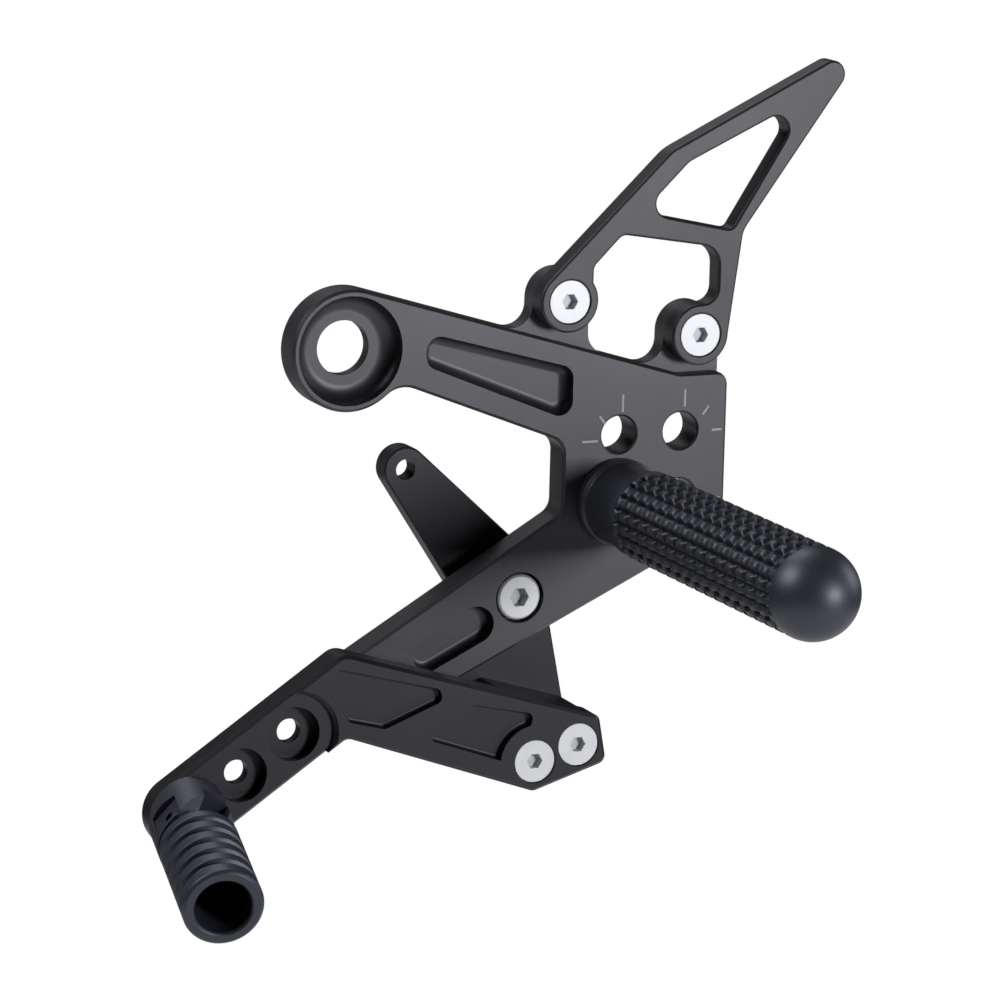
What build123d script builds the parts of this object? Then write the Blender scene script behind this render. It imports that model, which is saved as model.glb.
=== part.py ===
from build123d import *
import math
import os

# Rearset for the shift side of a motorbike:
# billet plate, heel guard, fixed foot peg, bell crank, shift lever and folding toe peg.
# Millimetres. +X points to the rear of the bike, +Y inboard to its frame and +Z up.
# The origin is on the axis of the upper frame eye, on the plate's inboard mounting face.
# Points in the plane of the plate are pairs (x, z); depths are values of y.

# Main plate
PLATE_T = 10.0
EDGE_BREAK = 0.8
BACK_BREAK = 1.0
EYE_R = 17.0
EYE_POCKET_R = 15.2
EYE_POCKET_DEPTH = 6.0
EYE_FLOOR_R = 5.0
EYE_BORE_R = 7.6
EYE_NECK_R = 8.0
NECK_X = 10.0
TOP_SLOPE = -0.293
UNDER_AT = (38.0, -18.8)
UNDER_SLOPE = -0.388
SHOULDER_Z = -11.6
SHOULDER_R = 6.0
REAR_X = 115.3
REAR_TOP_R = 4.0
REAR_LOW_R = 4.0
WEB_X = 64.6
WEB_R = 5.0
FOOT_LINE_AT = (61.8, -81.7)
FOOT_LINE_SLOPE = 0.471
LOW_ARM_AT = (53.0, -56.2)
LOW_ARM_SLOPE = 0.5965
LOW_END = (3.5, -97.7)
LOW_END_R = 10.4

# Pockets in the outboard face of the plate
ARM_POCKET = [(22.4, 4.0), (67.0, -8.1), (67.0, -23.4), (22.4, -5.3)]
ARM_POCKET_R = 4.0
ARM_POCKET_DEPTH = 4.5
ARM_FLOOR_R = 3.0
SLOT_START = (39.2, -79.6)
SLOT_START_R = 5.3
SLOT_END = (25.0, -87.0)
SLOT_END_R = 4.8
SLOT_DEPTH = 4.5
SLOT_FLOOR_R = 2.0

# Peg positions: a square of four holes
GRID_AT = (81.6, -27.9)
GRID_PITCH = 19.1
GRID_R = 5.3
GRID_CHAMFER = 0.5

# Heel guard and the lugs that carry it
LUG_STEP = 3.2
LUG_R = 8.6
LUG_FILLET = 6.0
LUG_FRONT = (64.0, 11.1)
LUG_REAR = (104.6, -0.2)
GUARD_T = 6.35
GUARD_EDGE = 0.5
GUARD_BOSS_R = 8.7
GUARD_HEEL_SLOPE = 0.966
GUARD_KNEE = (93.8, 52.1)
GUARD_KNEE_R = 14.0
GUARD_TIP = (156.1, 82.7)
GUARD_TIP_R = 4.0
GUARD_HIP = (117.1, 28.9)
GUARD_HIP_R = 7.0
UPPER_WINDOW = [(85.6, 35.2), (99.6, 48.9), (136.6, 66.1), (113.4, 29.3)]
UPPER_WINDOW_R = [4.0, 8.0, 4.0, 2.0]
WINDOW_SILL_Z = 15.6
WINDOW_LEFT = (71.1, 20.6)
WINDOW_TOP = (79.7, 29.2)
WINDOW_RIGHT = (109.7, 24.4)
WINDOW_SMALL_R = 3.0
WINDOW_R = 6.0
WINDOW_LOW_R = 4.5

# Countersunk M6 screws for the guard and the lever
M6_R = 3.0
M6_HOLE_R = 3.3
M6_HEAD_R = 6.1
M6_HEX = 4.0
M6_HEX_DEPTH = 2.4
SINK_GAP = 0.3
GUARD_SCREW_L = 12.0
LEVER_SCREW_L = 25.0

# M8 low-head screws for the pivot and the lower frame mount
M8_R = 4.0
M8_NECK_R = 3.6
M8_HOLE_R = 4.25
M8_HEAD_R = 6.5
M8_HEAD_H = 5.0
M8_HEAD_BREAK = 0.6
M8_HEX = 5.0
M8_HEX_DEPTH = 3.0
HEAD_GAP = 0.8
HEAD_SINK = 0.3
FRAME_BOLT_L = 16.0

# Foot peg and the spool that carries it
SPOOL_UNDER = 0.2
SPOOL_L = 22.0
SPOOL_WAIST = 0.9
SPOOL_RIM = 3.0
PEG_R = 12.7
PEG_L = 96.0
PEG_RIM = 2.2
PEG_RIM_BREAK = 0.5
PEG_SMOOTH = 0.5
KNURL_ROWS = 16
KNURL_RANKS = 20
KNURL_DEPTH = 1.3
KNURL_LAND = 0.34
PEG_BOLT_R = 5.0
PEG_BOLT_HEAD_R = 8.0
PEG_BOLT_HEAD_H = 6.0
PEG_BOLT_HEX = 8.0
PEG_BOLT_HEX_DEPTH = 3.0
PEG_BOLT_REACH = 24.0
PEG_BORE_SPARE = 2.0
PEG_WASHER_R = 10.0
PEG_WASHER_T = 1.6

# Pivot stack behind the plate
PIVOT = (52.3, -72.7)
SLEEVE_R = 6.0
BUSH_R = 8.0
BUSH_FLANGE_R = 10.5
BUSH_FLANGE_T = 1.0
BUSH_L = 6.5
NUT_AF = 13.0
NUT_H = 7.0
PIVOT_WASHER_R = 8.4
PIVOT_WASHER_T = 1.6
PIVOT_BOLT_END = 1.5
RUN_GAP = 0.15
FIT_GAP = 0.05

# Bell crank
CRANK_T = 6.35
CRANK_EDGE = 0.5
HUB_R = 12.4
HUB_BOSS_R = 11.0
HUB_L = 15.0
CRANK_TIP = (21.6, -36.4)
CRANK_TIP_R = 6.4
CRANK_TIP_BORE_R = 2.9
FOOT_INSET = 0.4
FOOT_LEFT_X = 44.0
CRANK_LEFT_X = 34.0
FOOT_R = 2.0
FOOT_NECK_R = 6.0

# Shift lever
LEVER_T = 9.5
LEVER_GAP = 4.2
LEVER_EDGE = 1.0
LEVER_REAR_TOP = (71.8, -105.2)
LEVER_TOP_SLOPE = -0.309
LEVER_REAR_LOW = (74.3, -118.6)
LEVER_REAR_TOE = (52.0, -125.4)
LEVER_LOW_SLOPE = -0.358
LEVER_ELBOW_R = 5.0
LEVER_CROTCH_R = 3.0
LEVER_REAR_R = 2.5
LEVER_SCREW_FRONT = (52.0, -116.6)
LEVER_SCREW_REAR = (65.2, -112.9)
TOE_HOLE = (-19.7, -103.0)
TOE_HOLES_N = 3
TOE_PITCH = 18.4
TOE_ANGLE = 214.0
TOE_ARM_R = 10.4
TOE_ARM_FLAT = 0.3
TOE_STEP = 2.0
TOE_STEP_OVER = 1.1
TOE_BORE_R = 3.4
TOE_SINK_R = 7.6
TOE_SINK_DEPTH = 4.0
LEVER_POCKET_DEPTH = 2.4
LEVER_POCKET_R = 2.0
LEVER_FLOOR_R = 1.0
FRONT_POCKET = [
    (-7.5, -85.3),
    (22.5, -93.3),
    (24.0, -96.7),
    (6.5, -103.4),
    (-4.0, -100.7),
    (-11.3, -89.7),
]
BACK_POCKET = [(33.0, -98.7), (51.5, -102.8), (47.0, -117.4), (17.3, -106.9)]
BACK_POCKET_ARC_R = 10.5

# Folding toe peg and its forked knuckle
KNUCKLE_R = 11.1
KNUCKLE_TOP = 5.8
KNUCKLE_FLAT = 9.4
KNUCKLE_PANEL = 9.0
KNUCKLE_SCREW_IN = 3.4
FOLD = 45.0
FOLD_CUTS = 3
TONGUE_HALF = 4.4
TONGUE_GAP = 0.25
TONGUE_R = 5.2
TONGUE_FLOOR_GAP = 0.3
PIN_HEIGHT = 10.0
PIN_ANGLE = 143.0
PIN_R = 2.2
PIN_BORE_R = 1.3
TOE_LEAN = 15.0
TOE_R = 11.0
TOE_START = 6.2
TOE_L = 41.0
TOE_EDGE = 0.8
TOE_BORE = 7.6
TOE_BORE_EDGE = 0.7
TOE_BORE_DEPTH = 24.0
TOE_GROOVES = 5
TOE_GROOVE_PITCH = 6.0
TOE_GROOVE_W = 2.6
TOE_GROOVE_DEPTH = 1.2
TOE_GROOVE_SLOPE = 0.6
TOE_END_LAND = 4.5
TOE_SCREW_HEAD_R = 5.2
TOE_SCREW_HEAD_H = 3.3
TOE_SCREW_SOFT_R = 4.9
TOE_SCREW_TOP_R = 3.2

# How far a cut runs past a face
PAST = 1.0

# Depths
Y_BACK = 0.0
Y_FRONT = Y_BACK - PLATE_T
Y_LUG = Y_FRONT + LUG_STEP
Y_GUARD = Y_LUG - GUARD_T
Y_LEVER_BACK = Y_FRONT - LEVER_GAP
Y_LEVER = Y_LEVER_BACK - LEVER_T
Y_TOE_FACE = Y_LEVER + TOE_STEP
Y_CRANK = Y_BACK + RUN_GAP + BUSH_FLANGE_T
Y_CRANK_BACK = Y_CRANK + CRANK_T
Y_HUB_END = Y_CRANK + HUB_L
Y_SLEEVE_END = Y_HUB_END + BUSH_FLANGE_T + RUN_GAP
Y_NUT = Y_SLEEVE_END + PIVOT_WASHER_T
Y_SPOOL = Y_FRONT - SPOOL_L
Y_BALL = Y_SPOOL - PEG_L
Y_M8_SEAT = Y_FRONT + HEAD_SINK + M8_HEAD_H

EYE = (0.0, 0.0)
GRID = [(GRID_AT[0] + i * GRID_PITCH, GRID_AT[1] - j * GRID_PITCH) for j in (0, 1) for i in (0, 1)]
PEG_AT = GRID[2]
LUGS = [LUG_FRONT, LUG_REAR]
LEVER_SCREWS = [LEVER_SCREW_FRONT, LEVER_SCREW_REAR]
TOE_DIR = (math.cos(math.radians(TOE_ANGLE)), math.sin(math.radians(TOE_ANGLE)))


def along_toe(distance, aside=0.0):
    """Point of the lever's forward arm, measured from the first hole along and across the row."""
    return (
        TOE_HOLE[0] + distance * TOE_DIR[0] + aside * TOE_DIR[1],
        TOE_HOLE[1] + distance * TOE_DIR[1] - aside * TOE_DIR[0],
    )


TOE_HOLES = [along_toe(i * TOE_PITCH) for i in range(TOE_HOLES_N)]
TOE_AT = TOE_HOLES[-1]


def slab(sketch, y_outer, y_inner):
    """Solid between two depths from an outline drawn in X and Z."""
    return extrude(Plane.XZ.offset(-y_inner) * sketch, amount=y_inner - y_outer)


def outline(points, radii):
    """Closed face through the points, with a radius at each corner."""
    return make_face(FilletPolyline(*points, radius=radii, close=True))


def disc(at, radius):
    """Round face about a point of the plate's plane."""
    return Pos(*at) * Circle(radius)


def turned(at, profile):
    """Solid of revolution about the line through a point along Y, from pairs (radius, y)."""
    return Pos(at[0], 0, at[1]) * revolve(make_face(Polyline(*profile, close=True)), Axis.Y)


def bar(at, radius, y_outer, y_inner):
    """Plain round bar along Y."""
    return slab(disc(at, radius), y_outer, y_inner)


def hexagon(at, across_flats, y_outer, y_inner):
    """Hexagonal bar along Y."""
    return slab(Pos(*at) * RegularPolygon(across_flats / 2, 6, major_radius=False), y_outer, y_inner)


def link(at_a, radius_a, at_b, radius_b):
    """Two round ends joined by their common tangents."""
    return make_hull(disc(at_a, radius_a).edges() + disc(at_b, radius_b).edges())


def meet(at_a, slope_a, at_b, slope_b):
    """Point where two lines of the plate's plane cross."""
    x = (at_b[1] - at_a[1] + slope_a * at_a[0] - slope_b * at_b[0]) / (slope_a - slope_b)
    return (x, at_a[1] + slope_a * (x - at_a[0]))


def on_line(at, slope, x):
    """Point of a line at a given x."""
    return (x, at[1] + slope * (x - at[0]))


def tangent_point(at, radius, slope, side):
    """Point of a circle where a line of the given slope touches it, above (side 1) or below (side -1)."""
    length = math.hypot(1, slope)
    return (at[0] - side * radius * slope / length, at[1] + side * radius / length)


def break_front(solid, size, inner=False):
    """Chamfer the edges of the outboard face, its outer edge alone or its windows too."""
    face = solid.faces().sort_by(Axis.Y)[0]
    return chamfer(face.edges() if inner else face.outer_wire().edges(), size)


def break_back(solid, size):
    """Chamfer the outer edge of the inboard face."""
    return chamfer(solid.faces().sort_by(Axis.Y)[-1].outer_wire().edges(), size)


def round_floor(cutter, radius):
    """Round the edge of a pocket's floor."""
    return fillet(cutter.faces().sort_by(Axis.Y)[-1].edges(), radius)


def plate_outline():
    """Outline of the plate without its guard lugs."""
    top = tangent_point(EYE, EYE_R, TOP_SLOPE, 1)
    rear_top = (REAR_X, SHOULDER_Z)
    shoulder = meet(top, TOP_SLOPE, rear_top, 0.0)
    rear_low = on_line(FOOT_LINE_AT, FOOT_LINE_SLOPE, REAR_X)
    end_low = tangent_point(LOW_END, LOW_END_R, FOOT_LINE_SLOPE, -1)
    end_top = tangent_point(LOW_END, LOW_END_R, LOW_ARM_SLOPE, 1)
    web_low = on_line(LOW_ARM_AT, LOW_ARM_SLOPE, WEB_X)
    web_top = on_line(UNDER_AT, UNDER_SLOPE, WEB_X)
    neck = on_line(UNDER_AT, UNDER_SLOPE, NECK_X)
    body = outline(
        [top, shoulder, rear_top, rear_low, end_low, LOW_END, end_top, web_low, web_top, neck, EYE],
        [0, SHOULDER_R, REAR_TOP_R, REAR_LOW_R, 0, 0, 0, WEB_R, WEB_R, 0, 0],
    )
    body = body + disc(EYE, EYE_R) + disc(LOW_END, LOW_END_R)
    inner = [v for v in body.vertices() if math.hypot(v.X, v.Y) < EYE_R + FIT_GAP and v.Y < 0 < v.X]
    return fillet(inner, EYE_NECK_R)


def lug_outline(at):
    """Round lug that stands on the upper edge of the plate."""
    top = tangent_point(EYE, EYE_R, TOP_SLOPE, 1)
    left = on_line(top, TOP_SLOPE, at[0] - LUG_R)
    right = on_line(top, TOP_SLOPE, at[0] + LUG_R)
    stem = outline(
        [(left[0], at[1]), (right[0], at[1]), (right[0], right[1] - LUG_R), (left[0], left[1] - LUG_R)],
        0,
    )
    return stem + disc(at, LUG_R)


def whole_outline():
    """Outline of the plate with its lugs and the hollows beside them."""
    whole = plate_outline()
    for at in LUGS:
        whole += lug_outline(at)
    roots = [LUG_FRONT[0] - LUG_R, LUG_FRONT[0] + LUG_R, LUG_REAR[0] - LUG_R]
    corners = [v for v in whole.vertices() if min(abs(v.X - x) for x in roots) < FIT_GAP]
    lowest = [min((v for v in corners if abs(v.X - x) < FIT_GAP), key=lambda v: v.Y) for x in roots]
    return fillet(lowest, LUG_FILLET)


def make_main_plate():
    """Billet plate with frame eye, pocketed arms, peg holes and guard lugs."""
    solid = break_front(slab(plate_outline(), Y_FRONT, Y_LUG), EDGE_BREAK)
    solid += break_back(slab(whole_outline(), Y_LUG, Y_BACK), BACK_BREAK)
    above = Y_FRONT - PAST
    solid -= round_floor(bar(EYE, EYE_POCKET_R, above, Y_FRONT + EYE_POCKET_DEPTH), EYE_FLOOR_R)
    solid -= bar(EYE, EYE_BORE_R, above, Y_BACK + PAST)
    pocket = slab(outline(ARM_POCKET, ARM_POCKET_R), above, Y_FRONT + ARM_POCKET_DEPTH)
    solid -= round_floor(pocket, ARM_FLOOR_R)
    slot = slab(link(SLOT_START, SLOT_START_R, SLOT_END, SLOT_END_R), above, Y_FRONT + SLOT_DEPTH)
    solid -= round_floor(slot, SLOT_FLOOR_R)
    wide = GRID_R + GRID_CHAMFER
    for at in GRID:
        solid -= turned(
            at,
            [
                (0, Y_FRONT),
                (wide, Y_FRONT),
                (GRID_R, Y_FRONT + GRID_CHAMFER),
                (GRID_R, Y_BACK - GRID_CHAMFER),
                (wide, Y_BACK),
                (0, Y_BACK),
            ],
        )
    for at in (PIVOT, LOW_END):
        solid -= bar(at, M8_HEAD_R + HEAD_GAP, above, Y_M8_SEAT)
        solid -= bar(at, M8_HOLE_R, above, Y_BACK + PAST)
    for at in LUGS:
        solid -= bar(at, M6_R + FIT_GAP, Y_LUG - PAST, Y_BACK + PAST)
    return solid


def make_heel_guard():
    """Flat guard with a three-sided upper window and a lower window open to the plate."""
    heel = tangent_point(LUG_FRONT, GUARD_BOSS_R, GUARD_HEEL_SLOPE, 1)
    right = LUG_REAR[0] + GUARD_BOSS_R
    rim = outline(
        [
            heel,
            GUARD_KNEE,
            GUARD_TIP,
            GUARD_HIP,
            (right, LUG_REAR[1]),
            (LUG_REAR[0] - GUARD_BOSS_R, LUG_REAR[1]),
            (LUG_REAR[0] - GUARD_BOSS_R, WINDOW_SILL_Z),
            (LUG_FRONT[0] + GUARD_BOSS_R, WINDOW_SILL_Z),
            (LUG_FRONT[0] + GUARD_BOSS_R, LUG_FRONT[1]),
            LUG_FRONT,
        ],
        [0, GUARD_KNEE_R, GUARD_TIP_R, GUARD_HIP_R, 0, 0, 0, 0, 0, 0],
    )
    boss_top = LUG_REAR[1] + GUARD_BOSS_R
    boss_low = LUG_REAR[1] - GUARD_BOSS_R
    lower = outline(
        [
            (WINDOW_LEFT[0], boss_low),
            WINDOW_LEFT,
            WINDOW_TOP,
            WINDOW_RIGHT,
            (WINDOW_RIGHT[0], boss_top),
            (LUG_REAR[0], boss_top),
            (LUG_REAR[0], boss_low),
        ],
        [0, WINDOW_SMALL_R, WINDOW_SMALL_R, WINDOW_R, WINDOW_LOW_R, 0, 0],
    )
    face = rim - outline(UPPER_WINDOW, UPPER_WINDOW_R) - lower
    face = face + disc(LUG_FRONT, GUARD_BOSS_R) + disc(LUG_REAR, GUARD_BOSS_R)
    solid = break_front(slab(face, Y_GUARD, Y_LUG), GUARD_EDGE, inner=True)
    for at in LUGS:
        solid -= countersink(at, Y_GUARD, Y_LUG)
    return solid


def countersink(at, y_face, y_end):
    """Cut for a countersunk M6 screw from an outboard face."""
    wide = M6_HEAD_R + SINK_GAP
    end = y_end + PAST
    return turned(
        at,
        [
            (0, y_face - PAST),
            (wide, y_face - PAST),
            (wide, y_face),
            (M6_HOLE_R, y_face + wide - M6_HOLE_R),
            (M6_HOLE_R, end),
            (0, end),
        ],
    )


def countersunk_screw(at, y_face, length):
    """M6 screw with a flat head seated in its countersink."""
    top = y_face + SINK_GAP
    cone = top + M6_HEAD_R - M6_R
    end = y_face + length
    body = turned(at, [(0, top), (M6_HEAD_R, top), (M6_R, cone), (M6_R, end), (0, end)])
    return body - hexagon(at, M6_HEX, top - PAST, top + M6_HEX_DEPTH)


def cap_screw(at, y_seat, y_end):
    """M8 low-head socket screw whose head bears outboard of its seat."""
    top = y_seat - M8_HEAD_H
    body = turned(
        at,
        [
            (0, top),
            (M8_HEAD_R - M8_HEAD_BREAK, top),
            (M8_HEAD_R, top + M8_HEAD_BREAK),
            (M8_HEAD_R, y_seat),
            (M8_NECK_R, y_seat),
            (M8_NECK_R, Y_BACK),
            (M8_R, Y_BACK),
            (M8_R, y_end),
            (0, y_end),
        ],
    )
    return body - hexagon(at, M8_HEX, top - PAST, top + M8_HEX_DEPTH)


def make_peg_spool():
    """Turned spool that stands the foot peg off the plate."""
    wide = PEG_R - SPOOL_UNDER
    waist = wide - SPOOL_WAIST
    return turned(
        PEG_AT,
        [
            (GRID_R, Y_FRONT),
            (wide, Y_FRONT),
            (wide, Y_FRONT - SPOOL_RIM),
            (waist, Y_FRONT - SPOOL_RIM - SPOOL_WAIST),
            (waist, Y_SPOOL + SPOOL_RIM + SPOOL_WAIST),
            (wide, Y_SPOOL + SPOOL_RIM),
            (wide, Y_SPOOL),
            (GRID_R, Y_SPOOL),
        ],
    )


def make_foot_peg():
    """Round peg with a ball end and a knurl of studs, cut by rows of ring grooves and ranks of long ones."""
    start = Y_SPOOL - PEG_RIM
    pitch = (PEG_L - PEG_RIM - PEG_SMOOTH) / KNURL_ROWS
    valley = pitch * (1 - KNURL_LAND)
    low = PEG_R - KNURL_DEPTH
    points = [(0, Y_SPOOL), (PEG_R - PEG_RIM_BREAK, Y_SPOOL)]
    points += [(PEG_R, Y_SPOOL - PEG_RIM_BREAK), (PEG_R, start)]
    for row in range(KNURL_ROWS):
        y = start - row * pitch
        points += [(low, y - valley / 2), (PEG_R, y - valley), (PEG_R, y - pitch)]
    points.append((PEG_R, Y_BALL))
    ball = Pos(0, Y_BALL, 0) * CenterArc((0, 0), PEG_R, 270, 90)
    spine = Line((0, Y_BALL - PEG_R), (0, Y_SPOOL))
    peg = revolve(make_face(Polyline(*points).edges() + ball.edges() + spine.edges()), Axis.Y)
    half = math.pi * PEG_R / KNURL_RANKS * (1 - KNURL_LAND)
    rim = PEG_R + FIT_GAP
    groove = make_face(Polyline((-half, rim), (half, rim), (0, low - FIT_GAP), close=True))
    cut = slab(groove, start - KNURL_ROWS * pitch, start)
    peg -= [Rotation(0, i * 360 / KNURL_RANKS, 0) * cut for i in range(KNURL_RANKS)]
    peg -= bar(EYE, PEG_BOLT_R + FIT_GAP, Y_SPOOL - PEG_BOLT_REACH - PEG_BORE_SPARE, Y_SPOOL + PAST)
    return Pos(PEG_AT[0], 0, PEG_AT[1]) * peg


def ring(at, radius, bore, y_outer, y_inner):
    """Round ring along Y."""
    return bar(at, radius, y_outer, y_inner) - bar(at, bore, y_outer - PAST, y_inner + PAST)


def make_peg_bolt():
    """M10 socket screw from the inboard side through plate and spool into the peg."""
    seat = Y_BACK + PEG_WASHER_T
    top = seat + PEG_BOLT_HEAD_H
    end = Y_SPOOL - PEG_BOLT_REACH
    body = bar(PEG_AT, PEG_BOLT_R, end, top) + bar(PEG_AT, PEG_BOLT_HEAD_R, seat, top)
    return body - hexagon(PEG_AT, PEG_BOLT_HEX, top - PEG_BOLT_HEX_DEPTH, top + PAST)


def make_bush(y_flange, y_seat, y_end):
    """Flanged bearing bush in one end of the hub."""
    low, high = sorted((y_seat, y_end))
    flange_low, flange_high = sorted((y_flange, y_seat))
    body = bar(PIVOT, BUSH_R, low, high) + bar(PIVOT, BUSH_FLANGE_R, flange_low, flange_high)
    return body - bar(PIVOT, SLEEVE_R + FIT_GAP, min(low, flange_low) - PAST, max(high, flange_high) + PAST)


def make_pivot_nut():
    """Locknut on the pivot screw."""
    end = Y_NUT + NUT_H
    return hexagon(PIVOT, NUT_AF, Y_NUT, end) - bar(PIVOT, M8_R + FIT_GAP, Y_NUT - PAST, end + PAST)


def foot_corners():
    """Foot of the bell crank, just inside the rear end of the lever."""
    rear_top = (LEVER_REAR_TOP[0] - FOOT_INSET, LEVER_REAR_TOP[1] - FOOT_INSET)
    rear_low = (LEVER_REAR_LOW[0] - FOOT_INSET, LEVER_REAR_LOW[1] + FOOT_INSET)
    toe = (LEVER_REAR_TOE[0], LEVER_REAR_TOE[1] + FOOT_INSET)
    low_left = on_line(toe, LEVER_LOW_SLOPE, FOOT_LEFT_X)
    top_left = on_line(rear_top, LEVER_TOP_SLOPE, FOOT_LEFT_X)
    return [top_left, rear_top, rear_low, toe, low_left]


def make_bell_crank():
    """Bell crank behind the plate: rod arm, hub and a foot that steps out to the lever."""
    foot = foot_corners()
    hub_right = (PIVOT[0] + HUB_R, PIVOT[1])
    hub_left = (PIVOT[0] - HUB_R, PIVOT[1])
    low_left = on_line(foot[3], LEVER_LOW_SLOPE, CRANK_LEFT_X)
    top_left = on_line(foot[1], LEVER_TOP_SLOPE, CRANK_LEFT_X)
    lower = outline(
        [hub_left, hub_right, foot[1], foot[2], foot[3], low_left, top_left],
        [0, 0, 0, FOOT_R, FOOT_R, FOOT_R, FOOT_NECK_R],
    )
    flat = link(PIVOT, HUB_R, CRANK_TIP, CRANK_TIP_R) + lower + disc(PIVOT, HUB_R)
    solid = break_front(slab(flat, Y_CRANK, Y_CRANK_BACK), CRANK_EDGE)
    solid += slab(outline(foot, FOOT_R), Y_LEVER_BACK, Y_CRANK_BACK)
    solid += bar(PIVOT, HUB_BOSS_R, Y_CRANK, Y_HUB_END)
    solid -= bar(PIVOT, BUSH_R, Y_CRANK - PAST, Y_HUB_END + PAST)
    solid -= bar(CRANK_TIP, CRANK_TIP_BORE_R, Y_CRANK - PAST, Y_CRANK_BACK + PAST)
    for at in LEVER_SCREWS:
        solid -= bar(at, M6_R + FIT_GAP, Y_LEVER_BACK - PAST, Y_CRANK_BACK + PAST)
    return solid


def lever_outline():
    """Outline of the lever: a forward arm with a round end, an elbow and a five-sided rear end."""
    slope = TOE_DIR[1] / TOE_DIR[0]
    reach = (TOE_HOLES_N - 1) * TOE_PITCH + TOE_ARM_R
    elbow = meet(along_toe(0, TOE_ARM_R), slope, LEVER_REAR_TOP, LEVER_TOP_SLOPE)
    crotch = meet(along_toe(0, -TOE_ARM_R), slope, LEVER_REAR_TOE, LEVER_LOW_SLOPE)
    end_r = TOE_ARM_R - TOE_ARM_FLAT
    return outline(
        [
            elbow,
            LEVER_REAR_TOP,
            LEVER_REAR_LOW,
            LEVER_REAR_TOE,
            crotch,
            along_toe(reach, -TOE_ARM_R),
            along_toe(reach, TOE_ARM_R),
        ],
        [LEVER_ELBOW_R, LEVER_REAR_R, LEVER_REAR_R, LEVER_CROTCH_R, LEVER_CROTCH_R, end_r, end_r],
    )


def make_shift_lever():
    """Cranked lever with a stepped, drilled forward arm and two shallow pockets."""
    whole = lever_outline()
    step_r = TOE_ARM_R + TOE_STEP_OVER
    step = link(TOE_HOLE, step_r, along_toe((TOE_HOLES_N + 1) * TOE_PITCH), step_r)
    solid = break_front(slab(whole, Y_TOE_FACE, Y_LEVER_BACK), LEVER_EDGE)
    solid += break_front(slab(whole - step, Y_LEVER, Y_TOE_FACE + LEVER_EDGE), LEVER_EDGE)
    for at in TOE_HOLES:
        solid -= bar(at, TOE_SINK_R, Y_LEVER - PAST, Y_TOE_FACE + TOE_SINK_DEPTH)
        solid -= bar(at, TOE_BORE_R, Y_LEVER - PAST, Y_LEVER_BACK + PAST)
    pockets = [
        outline(FRONT_POCKET, LEVER_POCKET_R),
        outline(BACK_POCKET, LEVER_POCKET_R) - disc(LEVER_SCREW_FRONT, BACK_POCKET_ARC_R),
    ]
    for pocket in pockets:
        solid -= round_floor(slab(pocket, Y_LEVER - PAST, Y_LEVER + LEVER_POCKET_DEPTH), LEVER_FLOOR_R)
    for at in LEVER_SCREWS:
        solid -= countersink(at, Y_LEVER, Y_LEVER_BACK)
    return solid


def knuckle_plane():
    """Plane of the toe end of the lever, with x along the hinge pin and z outboard."""
    pin = math.radians(PIN_ANGLE)
    origin = (TOE_AT[0], Y_TOE_FACE, TOE_AT[1])
    return Plane(origin=origin, x_dir=(math.cos(pin), 0, math.sin(pin)), z_dir=(0, -1, 0))


def peg_plane():
    """Plane at the hinge pin, with x along the pin and z along the toe peg."""
    base = knuckle_plane()
    lean = math.radians(TOE_LEAN)
    axis = base.z_dir * math.cos(lean) + base.y_dir * math.sin(lean)
    return Plane(origin=base.origin + axis * PIN_HEIGHT, x_dir=base.x_dir, z_dir=axis)


UP = (Align.CENTER, Align.CENTER, Align.MIN)
DOWN = (Align.CENTER, Align.CENTER, Align.MAX)
CROSS = Rotation(0, 90, 0)


def make_toe_knuckle():
    """Round forked knuckle on the lever's end, flat round the hinge pin, with a top the peg folds over."""
    wide = 4 * KNUCKLE_R
    body = Cylinder(KNUCKLE_R, wide)
    above = Pos(0, 0, KNUCKLE_TOP) * Box(wide, wide, wide, align=UP)
    for i in range(FOLD_CUTS):
        body -= Rotation(i * FOLD / (FOLD_CUTS - 1), 0, 0) * above
    panel = Box(KNUCKLE_R, KNUCKLE_PANEL, KNUCKLE_PANEL)
    for side in (-1, 1):
        body -= Pos(side * (KNUCKLE_FLAT + KNUCKLE_R / 2), 0, 0) * panel
    floor = TONGUE_R + TONGUE_FLOOR_GAP
    body -= Pos(0, 0, -floor) * Box(2 * (TONGUE_HALF + TONGUE_GAP), wide, wide, align=UP)
    body -= CROSS * Cylinder(PIN_R, wide)
    solid = peg_plane() * body
    solid -= knuckle_plane() * Box(wide, wide, wide, align=DOWN)
    spigot = Cylinder(TOE_SINK_R - FIT_GAP, TOE_SINK_DEPTH, align=DOWN)
    solid += knuckle_plane() * spigot
    bore = Pos(0, 0, KNUCKLE_SCREW_IN) * Cylinder(M6_R + FIT_GAP, wide, align=DOWN)
    return solid - knuckle_plane() * bore


def make_toe_pin():
    """Hollow spring pin through both cheeks."""
    length = 2 * KNUCKLE_FLAT
    return peg_plane() * (CROSS * (Cylinder(PIN_R, length) - Cylinder(PIN_BORE_R, length + PAST)))


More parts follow.
